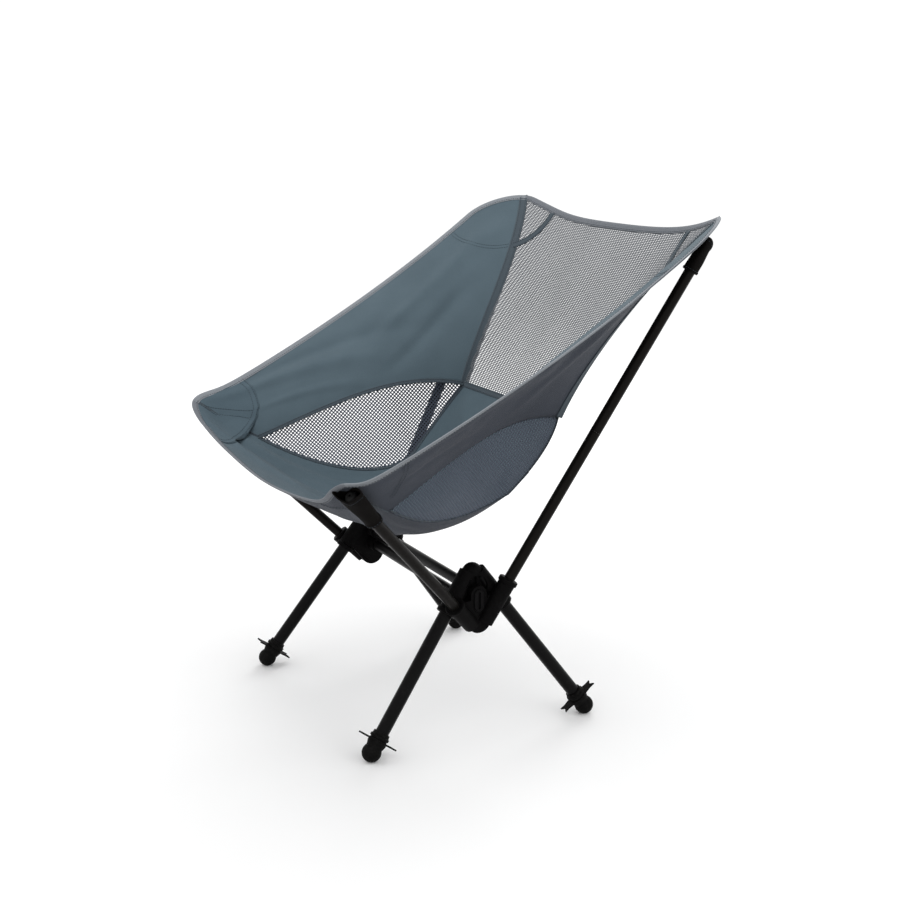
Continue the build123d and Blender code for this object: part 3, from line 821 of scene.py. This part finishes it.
def seam_tape(name, path, where, width, height, stitch_lift):
    """A tape over a seam on the sitter's side, with a row of stitches near each edge."""
    normals = normals_near(trees[where], path, INSIDE[where])
    ribbon(name, path + normals * 0.0006, normals, tape_profile(width, height), [TAPE])
    for offset in (-0.3, 0.3):
        stitches.run(path, normals, width * offset, stitch_lift)
    return normals


def same(points):
    return points


HANDS = (("left", same), ("right", flip))
for hand, turn in HANDS:
    path = part_of(HEMS[hand], FRONT_AT[hand] - 0.002, BACK_AT[hand] + 0.004, 320)
    path = turn(tented(path, SEAT_TIP, TENT[hand]))
    # Each side hem gets the lightened copy of the grey binding tape, which is painted light.
    hem_binding(f"side_binding_{hand}", path, hand, BINDING_WIDTH, f"side_tape_{hand}", LIT_SIDE_BINDING)
    seams = (("upper", UPPER_SEAM, 0.0060), ("back", BACK_SEAM, 0.0125), ("front", FRONT_SEAMS[hand], 0.0050))
    for label, line, width in seams:
        path = turn(tented(even(line, 160), SEAT_TIP, TENT[hand]))
        normals = seam_tape(f"{label}_seam_tape_{hand}", path, hand, width, 0.0007, 0.0013)
        if label == "back":
            # the outer face has the same tape, over the net's cut edge
            outer_path = path - normals * 0.0008
            profile = tape_profile(width, 0.0009)
            ribbon(f"back_seam_cover_{hand}", outer_path, -normals, profile, [TAPE])
    seam_tape(f"lower_seam_tape_{hand}", turn(even(LOWER_SEAM, 200)), "seat", 0.0062, 0.0007, 0.0013)

halves = {hand: part_of(hem, 0, FRONT_AT[hand] + 0.002, 200) for hand, hem in HEMS.items()}
halves = {hand: tented(half, SEAT_TIP, TENT[hand]) for hand, half in halves.items()}
front_path = join(flip(halves["right"])[::-1], halves["left"])
hem_binding("front_binding", front_path, "seat", FRONT_BINDING_WIDTH, "front_tape", BINDING)
top_half = part_of(OUTLINE, BACK_AT["right"] - 0.002, lengths(OUTLINE)[-1], 160)
top_path = join(flip(top_half), top_half[::-1])
hem_binding("top_binding", top_path, "back", BINDING_WIDTH, "top_tape", BINDING)
seam_tape("rear_seam_tape", even(SEAT_REAR, 120), "back", 0.0085, 0.0008, 0.0014)


# ---------------------------------------------------------------- reinforced corners
def unit(v):
    return v / np.linalg.norm(v)


class Corner:
    """Polar places on the cloth about a corner: share runs from one hem, 0, to the other, 1."""

    def __init__(self, at, first, second, tree, like):
        self.at, self.tree, self.like = at, tree, like
        self.first = unit(first - at)
        normal = unit(np.cross(self.first, second - at))
        self.second = np.cross(normal, self.first)
        self.angle = math.acos(np.dot(self.first, unit(second - at)))

    def place(self, radius, share):
        turn = share * self.angle
        flat = self.at + radius * (self.first * math.cos(turn) + self.second * math.sin(turn))
        at, normal, _, _ = self.tree.find_nearest(Vector(flat))
        normal = np.array(normal)
        return np.array(at), normal * (1 if np.dot(normal, self.like) >= 0 else -1)

    def arc(self, radius, start, end, count, lift):
        """A line at a distance from the corner, with its normals, smoothed as a stiff tape would lie."""
        found = [self.place(radius(s), s) for s in np.linspace(start, end, count)]
        line = np.array([at for at, _ in found])
        normals = np.array([n for _, n in found])
        for _ in range(6):
            line[1:-1] = (line[:-2] + 2 * line[1:-1] + line[2:]) / 4
            normals[1:-1] = (normals[:-2] + 2 * normals[1:-1] + normals[2:]) / 4
        normals /= np.linalg.norm(normals, axis=1, keepdims=True)
        return even(line + normals * lift, count), normals


def corner_patch(name, corner, reach, shares_used, lift):
    """A second layer of cloth sewn over a corner."""
    radii = np.linspace(0.006, 1.0, 26)
    rows = []
    for s in np.linspace(*shares_used, 44):
        row = [corner.place(reach(s) * r, s) for r in radii]
        rows.append([at + n * lift for at, n in row])
    grid = np.array(rows)
    for _ in range(2):
        around = grid[:-2, 1:-1] + grid[2:, 1:-1] + grid[1:-1, :-2] + grid[1:-1, 2:]
        grid[1:-1, 1:-1] = (around + 4 * grid[1:-1, 1:-1]) / 8
    sign = 1.0 if np.dot(grid_normals(grid)[22, 13], corner.like) > 0 else -1.0
    return cloth(name, grid, 0.0006, [PATCH], sign)


def point_at(line, length):
    return part_of(line, length, length, 1)[0]


def front_reach(share):
    """How far the front corner's cloth reaches from the corner."""
    return 0.083 + 0.003 * math.sin(math.pi * share) + 0.012 * share


def back_reach(share):
    """How far the back corner's arc of tape is from the corner."""
    return 0.100 + 0.002 * math.sin(math.pi * share)


for hand, turn in HANDS:
    outline = turn(HEMS[hand])
    like = INSIDE[hand]
    side_and_seat = tree_of(side_grids[hand], seat_grid)
    side_and_back = tree_of(side_grids[hand], back_grid)

    at_front = FRONT_AT[hand]
    front = Corner(
        point_at(outline, at_front), point_at(outline, at_front + 0.075), point_at(outline, at_front - 0.075),
        side_and_seat, unit(like + np.array((0, 0, 0.8))),
    )
    patch_name = f"front_corner_cloth_{hand}"
    corner_patch(patch_name, front, front_reach, (0.03, 0.97), 0.0006)
    for inset in (0.0, 0.0065):
        line, normals = front.arc(lambda s: front_reach(s) - 0.002 - inset, 0.03, 0.97, 90, 0.0012)
        stitches.run(line, normals)
        stitches.run(line - normals * 0.0026, -normals)
    for offset in (-0.05, 0.05):
        line = np.array([front.place(0.084 * r, 0.5 + offset)[0] for r in np.linspace(0.2, 1, 40)])
        normals = normals_near(side_and_seat, line, front.like)
        stitches.run(line + normals * 0.0013, normals)

    at_back = BACK_AT[hand] - 0.034
    back = Corner(
        point_at(outline, at_back), point_at(outline, at_back - 0.085), point_at(outline, at_back + 0.085),
        side_and_back, like,
    )
    line, normals = back.arc(back_reach, 0.58, 0.93, 80, 0.0010)
    ribbon(f"back_corner_tape_{hand}", line, normals, tape_profile(0.0105, 0.0008), [TAPE])
    for offset in (-0.0036, 0.0036):
        stitches.run(line, normals, offset, 0.0010, both=True)
    for inset in (0.0, 0.005):
        line, normals = back.arc(lambda s: back_reach(s) - inset, 0.02, 0.56, 60, 0.0006)
        stitches.run(line, normals)
        stitches.run(line - normals * 0.0013, -normals)

stitches.make("sling_stitching", [THREAD])


# ---------------------------------------------------------------- pockets over the pole ends
def pocket(name, root, tip, length, past, spread, flat_way, sew_way, replaced, turn):
    """A webbing sleeve: round where the pole goes in, and wider where it is sewn under the corner.

    past is how far it goes beyond the pole's tip, and spread how much wider it is there.
    """
    root, tip = turn(root), turn(tip)
    way = unit(tip - root)
    wide = unit(turn(flat_way) - way * np.dot(turn(flat_way), way))
    deep = np.cross(way, wide)
    deep *= np.sign(np.dot(deep, turn(sew_way)))
    outer, inner = [], []
    count = 40
    for t in np.linspace(0, 1, 24):
        half_wide = 0.0100 + spread * smooth(t / 0.95)
        half_deep = 0.0097 - 0.0012 * smooth(t)
        for store, wall in ((outer, 0.0), (inner, 0.0011)):
            ring = []
            for c in range(count):
                a = 2 * math.pi * c / count
                x, y = math.cos(a), math.sin(a)
                notch = 0.009 * smooth((t - 0.6) / 0.4) * (1 - abs(x)) * (1 if y < 0 else 0.3)
                centre = tip - way * (length - t * (length + past) + notch)
                pinch = 1 + 0.14 * abs(x) ** 9
                crease = 1 - 0.03 * math.sin(3 * a + 9 * t) * math.sin(math.pi * t)
                lip = 0.0006 if store is outer and not 0.08 < t < 0.95 else 0.0
                across = wide * x * (half_wide + lip - wall) * pinch * crease
                ring.append(centre + across + deep * y * (half_deep + lip - wall) * crease)
            store.append(ring)
    rings = np.array(outer[::-1] + inner)
    rows = len(rings)
    index = np.arange(rows * count).reshape(rows, count)
    index = np.concatenate([index, index[:1]])
    after = np.roll(index, -1, axis=1)
    faces = np.stack([index[:-1], after[:-1], after[1:], index[1:]], axis=-1).reshape(-1, 4)
    piece = new_object(name, rings.reshape(-1, 3), faces, [WEBBING])
    down_and_up = np.concatenate([np.linspace(length, 0, 24), np.linspace(0, length, 24)])
    along = np.repeat(down_and_up, count)
    round_it = np.tile(np.linspace(0, 0.062, count), rows)
    set_weave(piece, np.stack([along, round_it], axis=1))
    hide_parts(replaced)
    for level in (1, -3):
        mouth = np.array(outer[level] + [outer[level][0]])
        middle = mouth[:-1].mean(axis=0)
        normals = np.array([unit(p - middle) for p in mouth])
        pocket_stitches.run(even(mouth, 60), normals_even(normals, 60), 0, 0.0002)


def normals_even(normals, count):
    at = np.linspace(0, len(normals) - 1, count)
    found = np.stack([np.interp(at, np.arange(len(normals)), normals[:, k]) for k in range(3)], axis=1)
    return found / np.linalg.norm(found, axis=1, keepdims=True)


pocket_stitches = Seam()
PAST = {"left": 0.006, "right": -0.009}
SPREAD = {"left": 0.0075, "right": 0.0030}
FRONT_POCKET_LENGTH, BACK_POCKET_LENGTH = 0.056, 0.042
for hand, turn in HANDS:
    pocket(
        f"front_pocket_{hand}", SEAT_ROOT, SEAT_TIP, FRONT_POCKET_LENGTH, PAST[hand], SPREAD[hand],
        np.array((0.8, 0.45, 0.1)), np.array((-0.3, 0.1, 0.9)), f"corner_pocket_front_{hand}", turn,
    )
    pocket(
        f"back_pocket_{hand}", UPRIGHT_ROOT, UPRIGHT_TIP, BACK_POCKET_LENGTH, 0.004, 0.0025,
        np.array((0.75, -0.45, 0.2)), np.array((-0.4, -0.8, 0.3)), f"corner_pocket_back_{hand}", turn,
    )
pocket_stitches.make("pocket_stitching", [THREAD])

# ================================================================ shock cords in the legs
CORD_SHEATH_RADIUS = 0.0014
for end in ("front", "rear"):
    for hand in ("left", "right"):
        low, high = (np.array(corner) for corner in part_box(f"leg_cord_{end}_{hand}"))
        outwards = 1.0 if hand == "left" else -1.0
        forwards = -1.0 if end == "front" else 1.0
        top = np.array((low[0] if outwards > 0 else high[0], high[1] if forwards < 0 else low[1], high[2]))
        foot = np.array((high[0] if outwards > 0 else low[0], low[1] if forwards < 0 else high[1], low[2]))
        way = unit(foot - top)
        inset = 0.0016 * np.array((outwards, forwards, -1.0))
        line = np.linspace(top + inset, foot - inset, 60)
        turns = np.arange(14) * math.tau / 14
        sheath = CORD_SHEATH_RADIUS * np.stack([np.cos(turns), np.sin(turns)], axis=1)
        normals = np.tile(unit(np.cross(way, (1.0, 0, 0))), (60, 1))
        sheath_name = f"leg_cord_sheath_{end}_{hand}"
        piece = ribbon(sheath_name, line, normals, sheath, [CORD], body=None)
        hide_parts(f"leg_cord_{end}_{hand}")
        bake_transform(piece)

# ================================================================ floor, light and camera
floor_mesh = bpy.data.meshes.new("floor")
floor_mesh.from_pydata([(-90, -90, 0), (90, -90, 0), (90, 90, 0), (-90, 90, 0)], [], [(0, 1, 2, 3)])
floor = bpy.data.objects.new("floor", floor_mesh)
bpy.context.scene.collection.objects.link(floor)
floor_material, _, _ = shader("pale floor", (0.98, 0.98, 0.98), 0.9, Specular_IOR_Level=0.0)
floor_mesh.materials.append(floor_material)

world = bpy.data.worlds.new("studio")
world.use_nodes = True
world.node_tree.nodes["Background"].inputs[0].default_value = (1, 1, 1, 1)
world.node_tree.nodes["Background"].inputs[1].default_value = 1.07
bpy.context.scene.world = world
bpy.context.scene.view_settings.view_transform = "Standard"


def area_light(name, place, target, size, power):
    data = bpy.data.lights.new(name, "AREA")
    data.shape = "DISK"
    data.size = size
    data.energy = power
    lamp = bpy.data.objects.new(name, data)
    lamp.location = place
    lamp.rotation_euler = (Vector(target) - Vector(place)).to_track_quat("-Z", "Y").to_euler()
    bpy.context.scene.collection.objects.link(lamp)
    return lamp


# The key lamp lights the chair but not the floor, so that the chair's shadow stays broad and soft.
unlit_floor = bpy.data.collections.new("unlit floor")
unlit_floor.objects.link(floor)
unlit_floor.collection_objects[0].light_linking.link_state = "EXCLUDE"
key = area_light("key", (0.5, -0.9, 2.9), (0, 0, 0.35), 1.6, 46)
key.light_linking.receiver_collection = unlit_floor
area_light("fill", (2.4, 0.8, 1.3), (0, 0, 0.35), 1.6, 6)
area_light("rim", (-1.8, 1.6, 1.9), (0, 0, 0.4), 1.4, 18)

camera_data = bpy.data.cameras.new("camera")
camera_data.lens = 56.14
camera_data.sensor_width = 36.0
camera_data.clip_start = 0.05
camera = bpy.data.objects.new("camera", camera_data)
camera.location = (1.6595, -0.8334 + HUB_Y / 1000, 0.7926)
camera.rotation_euler = Vector((-0.8529, 0.4617, -0.2440)).to_track_quat("-Z", "Y").to_euler()
bpy.context.scene.collection.objects.link(camera)
bpy.context.scene.camera = camera
